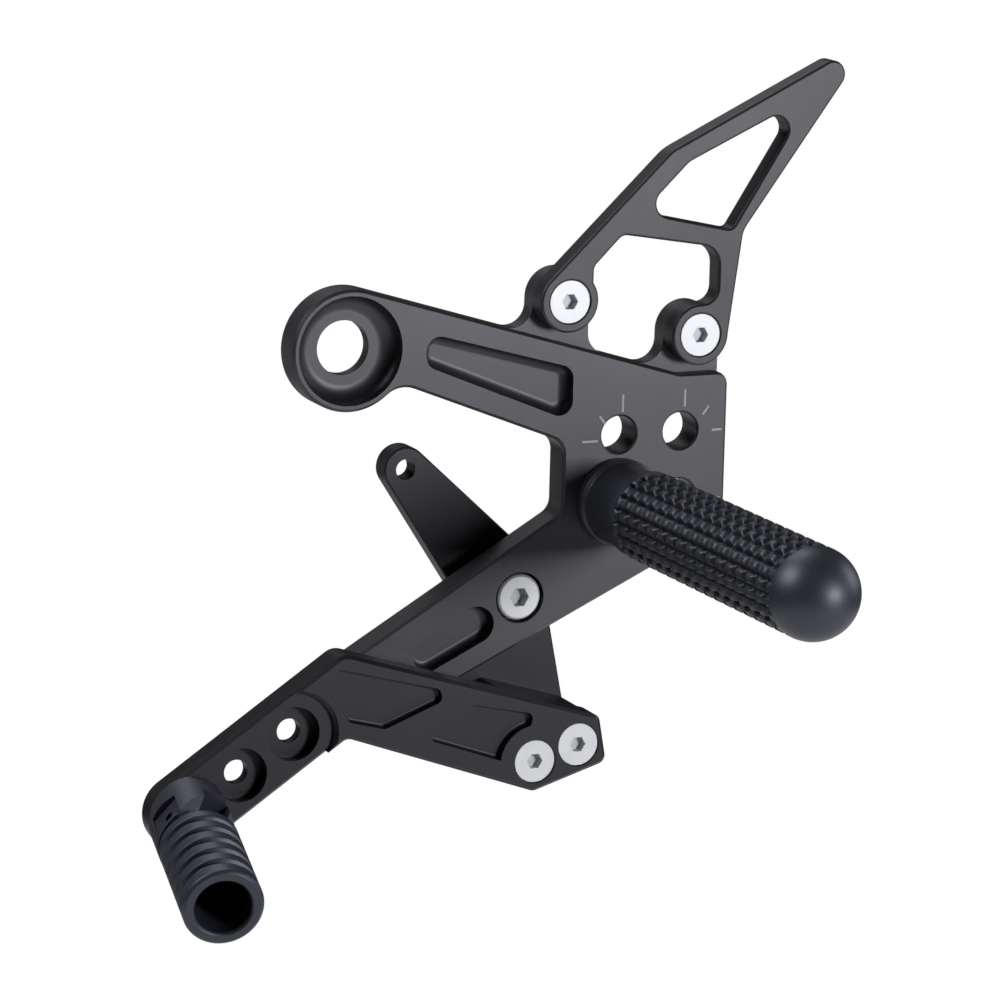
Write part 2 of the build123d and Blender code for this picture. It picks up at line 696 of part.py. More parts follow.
def make_toe_peg():
    """Grooved hollow toe peg with a tongue that turns on the pin."""
    points = [(0, TOE_START), (TOE_R - TOE_EDGE, TOE_START), (TOE_R, TOE_START + TOE_EDGE)]
    first = TOE_L - TOE_END_LAND - TOE_GROOVE_W - (TOE_GROOVES - 1) * TOE_GROOVE_PITCH
    root = TOE_R - TOE_GROOVE_DEPTH
    for i in range(TOE_GROOVES):
        z = first + i * TOE_GROOVE_PITCH
        points += [
            (TOE_R, z),
            (root, z + TOE_GROOVE_SLOPE),
            (root, z + TOE_GROOVE_W - TOE_GROOVE_SLOPE),
            (TOE_R, z + TOE_GROOVE_W),
        ]
    points += [
        (TOE_R, TOE_L - TOE_EDGE),
        (TOE_R - TOE_EDGE, TOE_L),
        (TOE_BORE + TOE_BORE_EDGE, TOE_L),
        (TOE_BORE, TOE_L - TOE_BORE_EDGE),
        (TOE_BORE, TOE_L - TOE_BORE_DEPTH),
        (0, TOE_L - TOE_BORE_DEPTH),
    ]
    peg = revolve(Plane.XZ * make_face(Polyline(*points, close=True)), Axis.Z)
    peg += CROSS * Cylinder(TONGUE_R, 2 * TONGUE_HALF)
    peg += Box(2 * TONGUE_HALF, 2 * TONGUE_R, TOE_START + TOE_EDGE, align=UP)
    peg -= CROSS * Cylinder(PIN_R + FIT_GAP, 4 * TOE_R)
    return peg_plane() * peg


def make_toe_screw():
    """Button screw from the inboard side of the lever into the knuckle."""
    end = Y_TOE_FACE - KNUCKLE_SCREW_IN + RUN_GAP
    top = Y_LEVER_BACK + TOE_SCREW_HEAD_H
    body = turned(
        TOE_AT,
        [
            (0, end),
            (M6_R, end),
            (M6_R, Y_LEVER_BACK),
            (TOE_SCREW_HEAD_R, Y_LEVER_BACK),
            (TOE_SCREW_SOFT_R, Y_LEVER_BACK + TOE_SCREW_HEAD_H / 2),
            (TOE_SCREW_TOP_R, top),
            (0, top),
        ],
    )
    return body - hexagon(TOE_AT, M6_HEX, top - M6_HEX_DEPTH, top + PAST)


def make_parts():
    """Every piece of the rearset by name."""
    return {
        "main_plate": make_main_plate(),
        "heel_guard": make_heel_guard(),
        "heel_guard_screw_front": countersunk_screw(LUG_FRONT, Y_GUARD, GUARD_SCREW_L),
        "heel_guard_screw_rear": countersunk_screw(LUG_REAR, Y_GUARD, GUARD_SCREW_L),
        "peg_spool": make_peg_spool(),
        "foot_peg": make_foot_peg(),
        "peg_washer": ring(PEG_AT, PEG_WASHER_R, PEG_BOLT_R + FIT_GAP, Y_BACK, Y_BACK + PEG_WASHER_T),
        "peg_bolt": make_peg_bolt(),
        "lower_frame_bolt": cap_screw(LOW_END, Y_M8_SEAT, Y_M8_SEAT + FRAME_BOLT_L),
        "pivot_bolt": cap_screw(PIVOT, Y_M8_SEAT, Y_NUT + NUT_H + PIVOT_BOLT_END),
        "pivot_sleeve": ring(PIVOT, SLEEVE_R, M8_HOLE_R, Y_BACK, Y_SLEEVE_END),
        "pivot_washer": ring(PIVOT, PIVOT_WASHER_R, M8_HOLE_R, Y_SLEEVE_END, Y_NUT),
        "pivot_nut": make_pivot_nut(),
        "bell_crank": make_bell_crank(),
        "pivot_bush_outer": make_bush(Y_CRANK - BUSH_FLANGE_T, Y_CRANK, Y_CRANK + BUSH_L),
        "pivot_bush_inner": make_bush(Y_HUB_END + BUSH_FLANGE_T, Y_HUB_END, Y_HUB_END - BUSH_L),
        "shift_lever": make_shift_lever(),
        "lever_screw_front": countersunk_screw(LEVER_SCREW_FRONT, Y_LEVER, LEVER_SCREW_L),
        "lever_screw_rear": countersunk_screw(LEVER_SCREW_REAR, Y_LEVER, LEVER_SCREW_L),
        "toe_knuckle": make_toe_knuckle(),
        "toe_screw": make_toe_screw(),
        "toe_pin": make_toe_pin(),
        "toe_peg": make_toe_peg(),
    }


os.makedirs("parts", exist_ok=True)
for name, shape in make_parts().items():
    export_step(shape, f"parts/{name}.step")
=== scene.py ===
import math

import bmesh
import bpy
from bpy.props import FloatProperty, FloatVectorProperty, IntProperty, PointerProperty
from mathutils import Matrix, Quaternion, Vector


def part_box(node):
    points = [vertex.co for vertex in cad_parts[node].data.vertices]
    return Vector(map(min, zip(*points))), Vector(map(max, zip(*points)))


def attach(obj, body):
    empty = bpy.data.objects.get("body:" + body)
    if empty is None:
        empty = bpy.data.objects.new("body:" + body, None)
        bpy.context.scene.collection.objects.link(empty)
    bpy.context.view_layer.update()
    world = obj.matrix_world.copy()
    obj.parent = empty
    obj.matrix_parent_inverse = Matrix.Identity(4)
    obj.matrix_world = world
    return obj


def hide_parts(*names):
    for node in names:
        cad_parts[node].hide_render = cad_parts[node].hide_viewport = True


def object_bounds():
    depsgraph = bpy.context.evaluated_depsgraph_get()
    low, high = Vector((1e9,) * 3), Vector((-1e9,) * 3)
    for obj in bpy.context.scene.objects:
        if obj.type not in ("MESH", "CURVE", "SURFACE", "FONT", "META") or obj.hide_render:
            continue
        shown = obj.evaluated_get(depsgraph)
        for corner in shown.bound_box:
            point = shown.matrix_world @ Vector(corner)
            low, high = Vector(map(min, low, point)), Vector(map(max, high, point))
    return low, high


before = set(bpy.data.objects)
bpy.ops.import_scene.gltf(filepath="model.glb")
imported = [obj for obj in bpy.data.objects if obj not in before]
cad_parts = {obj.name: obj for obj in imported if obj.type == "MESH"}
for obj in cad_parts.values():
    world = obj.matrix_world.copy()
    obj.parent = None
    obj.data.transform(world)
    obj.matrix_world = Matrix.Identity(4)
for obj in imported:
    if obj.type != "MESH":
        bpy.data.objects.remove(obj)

CAD_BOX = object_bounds()
MM = 0.001

bl_info = {
    "name": "Rearset finish",
    "version": (1, 0, 0),
    "blender": (4, 5, 0),
    "location": "3D View > Sidebar > Rearset",
    "description": "Black billet, a studded foot peg and plated screws for a motorbike rearset",
    "category": "Object",
}

# Index ticks beside the plate's peg holes, each a run from (x, z) to (x, z) in millimetres
TICKS = [
    ((82.5, -16.5), (82.5, -21.5)),
    ((75.4, -22.3), (77.2, -24.6)),
    ((70.2, -29.4), (75.0, -29.4)),
    ((101.8, -16.0), (101.8, -21.0)),
    ((107.6, -23.6), (109.4, -21.2)),
    ((110.6, -28.2), (113.6, -28.2)),
    ((111.0, -48.0), (113.8, -48.0)),
]

# Meshes: how near points are one point, and the angles in degrees between flat faces and at creases
CAD_WELD = 0.001 * MM
WELD = 0.002 * MM
SEAM_WELD = 0.004 * MM
FLAT_ANGLE = 0.2
CREASE = 38
FINE_CREASE = 40
STUD_CREASE = 50

# Softened edges: steps, and the softening of the guard and the toe pin as a share of the others'
BEVEL_STEPS = 2
GUARD_EDGE = 2.0
PIN_EDGE = 0.5

# Noises of the finishes: count per metre and detail
NOISE_ROUGHNESS = 0.55
GRAIN_DETAIL = 2.0
DYE_CLOUDS = (38.0, 3.0)
DYE_STREAKS = (210.0, 4.0)
METAL_CLOUDS = (160.0, 3.0)
METAL_MARKS = (2600.0, 2.0)
FILL_PATCHES = (900.0, 3.0)
FLOOR_CLOUDS = (3.0, 2.0)
CARD_CLOUDS = (5.0, 2.0)

# Shares of a colour that a noise runs between, what clouds and streaks each bring to the dye,
# and how dark and how full the painted shade is between studs, where the valleys lie in shade
DYE_RANGE = (0.86, 1.14)
METAL_RANGE = (0.9, 1.06)
FILL_RANGE = (0.75, 1.15)
CLOUD_SHARE = 0.7
STREAK_SHARE = 0.3
PAINTED_SHADE_TONE = 0.12
PAINTED_SHADE_COVER = 0.85

# Roughness: what each noise adds to a finish, and where the dye and the filling of the ticks start
DYE_START = -0.05
GRAIN_ROUGH = 0.06
STREAK_ROUGH = 0.05
CLOUD_ROUGH = 0.1
MARK_ROUGH = 0.05
FILL_START = 0.5
PATCH_ROUGH = 0.2

# Bumps of the dyed and of the bare metal, and the streaks' height as a share of the grain's
DYE_BUMP = {"Strength": 0.16, "Distance": 0.06 * MM}
METAL_BUMP = {"Strength": 0.1, "Distance": 0.04 * MM}
STREAK_HEIGHT = 0.4

# Bare and plated metals: title, roughness and metallic
METALS = {
    "zinc": ("zinc_plate", 0.36, 0.2),
    # The steel entry is painted shade: a darker, duller finish in the screws' sockets
    "steel": ("dull_steel", 0.4, 0.15),
    "bronze": ("bearing_bronze", 0.3, 1.0),
}

# Studded peg: mesh steps in one stud each way, spare ones along the shank, on its flat end and on
# its ball, how softly the valleys meet, how far the last row stops short as a share of a row, and
# the broken edge of the flat end
STUD_STEPS = 12
SHANK_SPARE = 6
FACE_STEPS = 3
BALL_STEPS = 28
VALLEY_BLEND = 0.25
ROW_SPARE = 0.001
FACE_BREAK = 0.5 * MM

# Threads of the M8 screws: radius, depth of the plate's inboard face, sides, mesh steps in a turn
# and at least in all, and where a flank starts and ends
M8_R = 4.0 * MM
PLATE_BACK = 0.0
THREAD_SIDES = 48
TURN_STEPS = 10
LEAST_STEPS = 12
FLANK = {"From Min": 0.12, "From Max": 0.88}

# Sides of the round tool that draws the index ticks
TICK_SIDES = 32

# Sockets of the screws, where shade is painted: reach from the axis, depth, and the skin of the
# head that is left out
M6_SOCKET_R = 2.9 * MM
M8_SOCKET_R = 3.6 * MM
SOCKET_DEPTH = 4.5 * MM
HEAD_SKIN = 0.05 * MM

# Studio in metres: drop and reach of the floor, the walls and top of the box of dark cards, their
# tones and roughness, and the colours of the light
FLOOR_DROP = 0.45
FLOOR_X = (-0.7, 0.7)
FLOOR_Y = (-0.6, 0.5)
FLOOR_TONES = ((0.86, 0.86, 0.87, 1), (0.9, 0.9, 0.9, 1))
FLOOR_ROUGHNESS = 0.9
CARD_X = (-1.3, 1.3)
CARD_Y = (-1.5, 1.0)
CARD_TOP = 0.9
CARD_TONES = ((0.01, 0.01, 0.011, 1), (0.014, 0.014, 0.015, 1))
CARD_ROUGHNESS = 1.0
AMBIENT_COLOUR = (0.96, 0.97, 1.0, 1)
WHITE = {"Color": (1, 1, 1, 1), "Strength": 1.0}

# Lamps: place, width and height in metres, and the stage's property with the power
LAMPS = {
    "lamp_key": ((0.44, -0.88, 0.05), 0.22, 0.22, "key"),
    "lamp_left": ((-0.72, 0.11, 0.62), 0.5, 0.5, "left"),
    "lamp_right": ((0.9, -0.1, 0.2), 0.4, 0.4, "right"),
    "lamp_back": ((0.05, 0.5, 0.75), 0.5, 0.5, "back"),
    "lamp_back_low": ((0.08, 0.95, -0.14), 0.5, 0.2, "back_low"),
}

# Camera: width of the sensor in millimetres, and nearest and farthest sight in metres
SENSOR = 36.0
CLIP = (0.05, 20.0)


class Wire:
    """A socket of a node tree: operators on it add Math nodes, and node() adds any other kind."""

    def __init__(self, tree, socket=None):
        self.tree = tree
        self.socket = socket

    def node(self, kind, settings=(), sockets=(), out=0):
        """Add a node, make its settings, fill or link its sockets, and give one of its outputs."""
        made = self.tree.nodes.new(kind)
        for key, value in dict(settings).items():
            setattr(made, key, value)
        for key, value in dict(sockets).items():
            if isinstance(value, Wire):
                self.tree.links.new(value.socket, made.inputs[key])
            else:
                made.inputs[key].default_value = value
        return Wire(self.tree, made.outputs[out]) if len(made.outputs) else made

    def math(self, operation, *values):
        """Math node of the given operation on these values."""
        return self.node("ShaderNodeMath", {"operation": operation}, dict(enumerate(values)))

    def __add__(self, other):
        return self.math("ADD", self, other)

    def __radd__(self, other):
        return self.math("ADD", other, self)

    def __sub__(self, other):
        return self.math("SUBTRACT", self, other)

    def __rsub__(self, other):
        return self.math("SUBTRACT", other, self)

    def __mul__(self, other):
        return self.math("MULTIPLY", self, other)

    def __rmul__(self, other):
        return self.math("MULTIPLY", other, self)

    def __truediv__(self, other):
        return self.math("DIVIDE", self, other)

    def __rtruediv__(self, other):
        return self.math("DIVIDE", other, self)

    def __abs__(self):
        return self.math("ABSOLUTE", self)


def shade(colour, factor):
    """Colour times a factor, as four numbers for a socket."""
    return tuple(min(1.0, c * factor) for c in colour[:3]) + (1.0,)


def shades(colour, factors):
    """Colour times each of some factors."""
    return [shade(colour, factor) for factor in factors]


def new_material(title):
    """Empty node material; gives the material, a wire to draw from and its shader."""
    material = bpy.data.materials.get(title)
    if material:
        bpy.data.materials.remove(material)
    material = bpy.data.materials.new(title)
    material.use_nodes = True
    tree = material.node_tree
    return material, Wire(tree), tree.nodes["Principled BSDF"]


def noise(wire, place, scale, detail):
    """Value of a noise on object coordinates, about 0 to 1."""
    return wire.node(
        "ShaderNodeTexNoise",
        {"noise_dimensions": "3D"},
        {"Vector": place, "Scale": scale, "Detail": detail, "Roughness": NOISE_ROUGHNESS},
    )


def blend_colour(wire, factor, first, second):
    """Colour between two others, which are sockets 6 and 7 of a Mix node."""
    return wire.node(
        "ShaderNodeMix",
        {"data_type": "RGBA"},
        {0: factor, 6: first, 7: second},
        out=2,
    )


def link(wire, node, socket):
    """Feed one of a node's sockets."""
    wire.tree.links.new(wire.socket, node.inputs[socket])


def along_axes(wire, place, names):
    """Coordinates of a place along the named axes."""
    return [wire.node("ShaderNodeSeparateXYZ", {}, {0: place}, out=name) for name in names]


def painted_valley_shade_mask(wire, place, x, z, radius, depth, end_y):
    """Mask of the painted shade between studs: how far below the studs' tops a place is, 0 to 1, on
    a peg's shank along Y down to end_y.
    """
    aside, along, up = along_axes(wire, place, "XYZ")
    aside, up = aside - x, up - z
    off = wire.math("SQRT", aside * aside + up * up)
    share = wire.math("MINIMUM", wire.math("MAXIMUM", (radius - off) / depth, 0.0), 1.0)
    return share * wire.math("GREATER_THAN", along, end_y)


def anodised(title, colour, roughness, metallic, studs=None):
    """Bead-blasted aluminium dyed black: cloudy dye, fine grain, and painted shade between any
    studs.
    """
    look = bpy.context.scene.rearset_finish
    material, wire, shader = new_material(title)
    place = wire.node("ShaderNodeTexCoord", out="Object")
    cloud = noise(wire, place, *DYE_CLOUDS)
    grain = noise(wire, place, 1.0 / look.grain, GRAIN_DETAIL)
    streak = noise(wire, place, *DYE_STREAKS)
    mottle = cloud * CLOUD_SHARE + streak * STREAK_SHARE
    dye = blend_colour(wire, mottle, *shades(colour, DYE_RANGE))
    # Painted shade: the colour darkens between the studs, where the valleys lie in shade
    if studs:
        painted_valley_shade = painted_valley_shade_mask(wire, place, *studs) * PAINTED_SHADE_COVER
        dye = blend_colour(wire, painted_valley_shade, dye, shade(colour, PAINTED_SHADE_TONE))
    link(dye, shader, "Base Color")
    rough = roughness + DYE_START + grain * GRAIN_ROUGH + streak * STREAK_ROUGH
    link(rough, shader, "Roughness")
    shader.inputs["Metallic"].default_value = metallic
    height = grain + streak * STREAK_HEIGHT
    link(wire.node("ShaderNodeBump", {}, {**DYE_BUMP, "Height": height}), shader, "Normal")
    return material


def plated(title, colour, roughness, metallic):
    """Plated or bare metal with faint clouds and drawing marks."""
    material, wire, shader = new_material(title)
    place = wire.node("ShaderNodeTexCoord", out="Object")
    cloud = noise(wire, place, *METAL_CLOUDS)
    mark = noise(wire, place, *METAL_MARKS)
    link(blend_colour(wire, cloud, *shades(colour, METAL_RANGE)), shader, "Base Color")
    link(roughness + cloud * CLOUD_ROUGH + mark * MARK_ROUGH, shader, "Roughness")
    shader.inputs["Metallic"].default_value = metallic
    link(wire.node("ShaderNodeBump", {}, {**METAL_BUMP, "Height": mark}), shader, "Normal")
    return material


def filled_line(title, colour):
    """Pale filling of a cut line, a little uneven."""
    material, wire, shader = new_material(title)
    place = wire.node("ShaderNodeTexCoord", out="Object")
    patch = noise(wire, place, *FILL_PATCHES)
    link(blend_colour(wire, patch, *shades(colour, FILL_RANGE)), shader, "Base Color")
    link(FILL_START + patch * PATCH_ROUGH, shader, "Roughness")
    return material


def drawn_group(title, *names):
    """New Geometry Nodes group with numbers as named inputs; gives it and its inputs as wires."""
    group = bpy.data.node_groups.new(title, "GeometryNodeTree")
    group.interface.new_socket("Geometry", in_out="INPUT", socket_type="NodeSocketGeometry")
    group.interface.new_socket("Geometry", in_out="OUTPUT", socket_type="NodeSocketGeometry")
    for name in names:
        group.interface.new_socket(name, in_out="INPUT", socket_type="NodeSocketFloat")
    entry = Wire(group).node("NodeGroupInput").socket.node
    return group, {s.name: Wire(group, s) for s in entry.outputs if s.name}


def close_group(wire, material):
    """End a wire's group in Realize Instances and Set Material."""
    real = wire.node("GeometryNodeRealizeInstances", {}, {"Geometry": wire})
    done = real.node("GeometryNodeSetMaterial", {}, {"Geometry": real, "Material": material})
    done.node("NodeGroupOutput", {}, {0: done})


def flat_sheet(wire, sides, steps):
    """Square grid to wrap round an axis; gives it, the share of a turn and the step along."""
    size = {"Size X": 1.0, "Size Y": 1.0, "Vertices X": sides + 1, "Vertices Y": steps + 1}
    grid = wire.node("GeometryNodeMeshGrid", {}, size)
    spot = wire.node("GeometryNodeInputPosition")
    across, along = (place + 0.5 for place in along_axes(wire, spot, "XY"))
    return grid, across, along * float(steps)


def wrap(wire, given, grid, across, wide, y, material):
    """Wrap a sheet round the given axis at a radius and a depth, sew it and end the group."""
    angle = across * (2 * math.pi)
    x = given["Middle X"] + wide * wire.math("SINE", angle)
    z = given["Middle Z"] + wide * wire.math("COSINE", angle)
    put = wire.node("ShaderNodeCombineXYZ", {}, {0: x, 1: y, 2: z})
    bent = wire.node("GeometryNodeSetPosition", {}, {"Geometry": grid, "Position": put})
    sewing = {"Geometry": bent, "Distance": SEAM_WELD}
    close_group(wire.node("GeometryNodeMergeByDistance", {}, sewing), material)


def grown(title, group, values, mesh=None):
    """Plain mesh object from a group evaluated once with these input values."""
    carrier = bpy.data.objects.new(title + "_seed", mesh or bpy.data.meshes.new(title + "_seed"))
    bpy.context.scene.collection.objects.link(carrier)
    modifier = carrier.modifiers.new(title, "NODES")
    modifier.node_group = group
    for item in group.interface.items_tree:
        if item.in_out == "INPUT" and item.name in values:
            modifier[item.identifier] = values[item.name]
    graph = bpy.context.evaluated_depsgraph_get()
    plain = bpy.data.meshes.new_from_object(carrier.evaluated_get(graph))
    carrier.modifiers.clear()
    bpy.data.objects.remove(carrier)
    return placed(title, plain)


def placed(title, mesh):
    """Object at the origin with this mesh."""
    mesh.name = title
    piece = bpy.data.objects.new(title, mesh)
    bpy.context.scene.collection.objects.link(piece)
    return piece


def smoothed(mesh, degrees):
    """Smooth shading with creases where faces meet at more than an angle."""
    mesh.shade_smooth()
    mesh.set_sharp_from_angle(angle=math.radians(degrees))


def outward(mesh):
    """Merge doubles and turn every face outwards."""
    form = bmesh.new()
    form.from_mesh(mesh)
    bmesh.ops.remove_doubles(form, verts=form.verts, dist=WELD)
    bmesh.ops.recalc_face_normals(form, faces=form.faces)
    form.to_mesh(mesh)
    form.free()


def node_copy(node, cut_y=None):
    """Merged copy of a CAD node's mesh, cut off inboard of a depth if one is given."""
    form = bmesh.new()
    form.from_mesh(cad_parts[node].data)
    bmesh.ops.remove_doubles(form, verts=form.verts, dist=CAD_WELD)
    bmesh.ops.dissolve_limit(
        form,
        angle_limit=math.radians(FLAT_ANGLE),
        verts=form.verts,
        edges=form.edges,
    )
    if cut_y is not None:
        cut = bmesh.ops.bisect_plane(
            form,
            geom=form.verts[:] + form.edges[:] + form.faces[:],
            plane_co=(0, cut_y, 0),
            plane_no=(0, 1, 0),
            clear_outer=True,
        )
        rim = [e for e in cut["geom_cut"] if isinstance(e, bmesh.types.BMEdge)]
        bmesh.ops.contextual_create(form, geom=rim)
    mesh = bpy.data.meshes.new(node + "_copy")
    form.to_mesh(mesh)
    form.free()
    return mesh


def dressed(node, body, slot, material, edge, cut_y=None):
    """Piece that stands for a CAD node, with its edges softened."""
    carrier = placed(node + "_seed", node_copy(node, cut_y))
    smoothed(carrier.data, CREASE)
    soft = carrier.modifiers.new("edge", "BEVEL")
    soft.width = edge
    soft.segments = BEVEL_STEPS
    soft.limit_method = "ANGLE"
    soft.angle_limit = math.radians(CREASE)
    soft.use_clamp_overlap = True
    soft.harden_normals = True
    even = carrier.modifiers.new("even", "WEIGHTED_NORMAL")
    even.keep_sharp = True
    graph = bpy.context.evaluated_depsgraph_get()
    mesh = bpy.data.meshes.new_from_object(carrier.evaluated_get(graph))
    carrier.modifiers.clear()
    bpy.data.objects.remove(carrier)
    mesh.materials.clear()
    mesh.materials.append(material)
    piece = placed(node + "_finished", mesh)
    return settled(piece, body, slot, node)


def settled(piece, body, slot, *nodes):
    """Let a piece ride on its body and hide the nodes it stands for; the name of its finish is not
    used.
    """
    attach(piece, body)
    if nodes:
        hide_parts(*nodes)
    return piece


def axis_of(node):
    """Middle (x, z), radius and end depths of a round CAD node along Y."""
    low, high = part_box(node)
    middle = (low + high) / 2
    return middle.x, middle.z, (high.x - low.x) / 2, low.y, high.y


def knurl_group(material, look):
    """Geometry Nodes for a round peg with a ball end and rows of studs round it."""
    group, given = drawn_group(
        "stud_knurl",
        "Middle X",
        "Middle Z",
        "Start Y",
        "Radius",
        "Reach",
        "Rim",
        "Rows",
        "Ranks",
        "Depth",
        "Land",
    )
    wire = Wire(group)
    shank_steps = look.rows * STUD_STEPS + SHANK_SPARE
    steps = FACE_STEPS + shank_steps + BALL_STEPS
    grid, across, index = flat_sheet(wire, look.ranks * STUD_STEPS, steps)
    on_face = wire.math("MINIMUM", index / float(FACE_STEPS), 1.0)
    past_face = index - float(FACE_STEPS)
    on_shank = wire.node("ShaderNodeClamp", {}, {0: past_face / float(shank_steps)})
    past_shank = index - float(FACE_STEPS + shank_steps)
    on_ball = wire.node("ShaderNodeClamp", {}, {0: past_shank / float(BALL_STEPS)})
    far = on_shank * given["Reach"]

    # Valleys round the peg and along it, 0 at the studs' tops and 1 at the bottom
    row = (far - given["Rim"]) * given["Rows"] / (given["Reach"] - given["Rim"])
    half = (1.0 - given["Land"]) * 0.5
    in_row = wire.math("MAXIMUM", 1.0 - abs(wire.math("FRACT", row) - half) / half, 0.0)
    last = given["Rows"] - ROW_SPARE
    inside = wire.math("GREATER_THAN", row, 0.0) * wire.math("LESS_THAN", row, last)
    rank = across * given["Ranks"] + 0.5
    in_rank = wire.math("MAXIMUM", 1.0 - abs(wire.math("FRACT", rank) - 0.5) / half, 0.0)
    dent = wire.math("SMOOTH_MAX", in_row, in_rank, VALLEY_BLEND)
    hollow = wire.node("ShaderNodeMapRange", {"interpolation_type": "SMOOTHSTEP"}, {"Value": dent})

    broken = wire.math("MAXIMUM", FACE_BREAK - far, 0.0)
    turn = on_ball * (math.pi / 2)
    wide = given["Radius"] * on_face * wire.math("COSINE", turn)
    wide = wide - hollow * inside * given["Depth"] - broken * on_face
    y = given["Start Y"] - far - given["Radius"] * wire.math("SINE", turn)
    wrap(wire, given, grid, across, wide, y, material)
    return group


def thread_group(material, turns):
    """Geometry Nodes for a screw thread along Y with both ends closed."""
    group, given = drawn_group(
        "screw_thread",
        "Middle X",
        "Middle Z",
        "Start Y",
        "Length",
        "Radius",
        "Pitch",
        "Depth",
        "Point",
    )
    wire = Wire(group)
    open_steps = max(LEAST_STEPS, int(turns * TURN_STEPS))
    steps = open_steps + 2
    grid, across, index = flat_sheet(wire, THREAD_SIDES, steps)
    along = wire.node("ShaderNodeClamp", {}, {0: (index - 1.0) / float(open_steps)})
    open_end = wire.math("MINIMUM", index, 1.0) * wire.math("MINIMUM", float(steps) - index, 1.0)
    far = along * given["Length"]
    tooth = abs(wire.math("FRACT", far / given["Pitch"] + across) - 0.5) * 2.0
    flank = wire.node("ShaderNodeMapRange", {}, {"Value": tooth, **FLANK})
    point = wire.math("MAXIMUM", given["Point"] - (given["Length"] - far), 0.0)
    wide = (given["Radius"] - flank * given["Depth"] - point) * open_end
    wrap(wire, given, grid, across, wide, given["Start Y"] + far, material)
    return group


def tick_group(material):
    """Geometry Nodes that run a round tool along drawn edges, so that a sliver stands clear."""
    group, given = drawn_group("index_ticks", "Tool radius")
    wire = given["Geometry"]
    path = wire.node("GeometryNodeMeshToCurve", {}, {"Mesh": wire})
    size = {"Resolution": TICK_SIDES, "Radius": given["Tool radius"]}
    tool = wire.node("GeometryNodeCurvePrimitiveCircle", {"mode": "RADIUS"}, size)
    bar = {"Curve": path, "Profile Curve": tool, "Fill Caps": True}
    close_group(wire.node("GeometryNodeCurveToMesh", {}, bar), material)
    return group


class RearsetFinish(bpy.types.PropertyGroup):
    """Colours and surface of the metal."""

    plate: FloatVectorProperty(
        name="Plate",
        description="Dye of the plate",
        subtype="COLOR",
        size=3,
        default=(0.064, 0.063, 0.072),
    )
    guard: FloatVectorProperty(
        name="Guard",
        description="Dye of the heel guard",
        subtype="COLOR",
        size=3,
        default=(0.049, 0.048, 0.054),
    )
    lever: FloatVectorProperty(
        name="Lever",
        description="Dye of crank and lever",
        subtype="COLOR",
        size=3,
        default=(0.03, 0.0295, 0.036),
    )
    peg: FloatVectorProperty(
        name="Pegs",
        description="Dye of spool, foot peg and toe peg",
        subtype="COLOR",
        size=3,
        default=(0.06, 0.064, 0.082),
    )
    zinc: FloatVectorProperty(
        name="Zinc",
        description="Plating of the screws",
        subtype="COLOR",
        size=3,
        default=(0.84, 0.86, 0.9),
    )
    # Painted shade: this darker, duller finish goes into the screws' sockets as their shade
    steel: FloatVectorProperty(
        name="Steel",
        description="Dull steel in the sockets of the screws",
        subtype="COLOR",
        size=3,
        default=(0.64, 0.65, 0.68),
    )
    bronze: FloatVectorProperty(
        name="Bronze",
        description="Bearing bushes",
        subtype="COLOR",
        size=3,
        default=(0.55, 0.37, 0.18),
    )
    tick: FloatVectorProperty(
        name="Ticks",
        description="Filling of the index ticks",
        subtype="COLOR",
        size=3,
        default=(0.5, 0.5, 0.52),
    )
    satin: FloatProperty(
        name="Satin",
        description="Roughness of the dyed metal",
        default=0.44,
        min=0.0,
        max=1.0,
        subtype="FACTOR",
    )
    dull: FloatProperty(
        name="Dull",
        description="Roughness of the pegs",
        default=0.46,
        min=0.0,
        max=1.0,
        subtype="FACTOR",
    )
    sheen: FloatProperty(
        name="Metal",
        description="How metallic the dyed surface is",
        default=0.7,
        min=0.0,
        max=1.0,
        subtype="FACTOR",
    )
    grain: FloatProperty(
        name="Grain",
        description="Size of the blasted grain",
        default=0.00045,
        unit="LENGTH",
        precision=5,
    )
    edge: FloatProperty(
        name="Edge",
        description="Softening of the edges",
        default=0.00018,
        unit="LENGTH",
        precision=5,
    )


class RearsetKnurl(bpy.types.PropertyGroup):
    """Studs of the foot peg."""

    rows: IntProperty(name="Rows", description="Rows of studs along the peg", default=16, min=1)
    ranks: IntProperty(name="Ranks", description="Studs round the peg", default=20, min=3)
    depth: FloatProperty(
        name="Depth", description="Depth of the valleys", default=0.0013, unit="LENGTH", precision=4
    )
    land: FloatProperty(
        name="Land",
        description="Share of the pitch that a stud's top takes",
        default=0.34,
        min=0.0,
        max=0.9,
    )
    rim: FloatProperty(
        name="Rim", description="Plain rim at the spool", default=0.0022, unit="LENGTH", precision=4
    )


class RearsetThread(bpy.types.PropertyGroup):
    """Threads of the two long screws."""

    pitch: FloatProperty(
        name="Pitch", description="Pitch of the thread", default=0.00125, unit="LENGTH", precision=5
    )
    depth: FloatProperty(
        name="Depth", description="Depth of the thread", default=0.00062, unit="LENGTH", precision=5
    )
    point: FloatProperty(
        name="Point",
        description="Bevel at the screw's end",
        default=0.0008,
        unit="LENGTH",
        precision=4,
    )


class RearsetMarks(bpy.types.PropertyGroup):
    """Index ticks beside the peg holes."""

    tool: FloatProperty(
        name="Tool", description="Radius of the tool", default=0.0006, unit="LENGTH", precision=4
    )
    proud: FloatProperty(
        name="Proud",
        description="How far a tick stands clear",
        default=0.00009,
        unit="LENGTH",
        precision=5,
    )


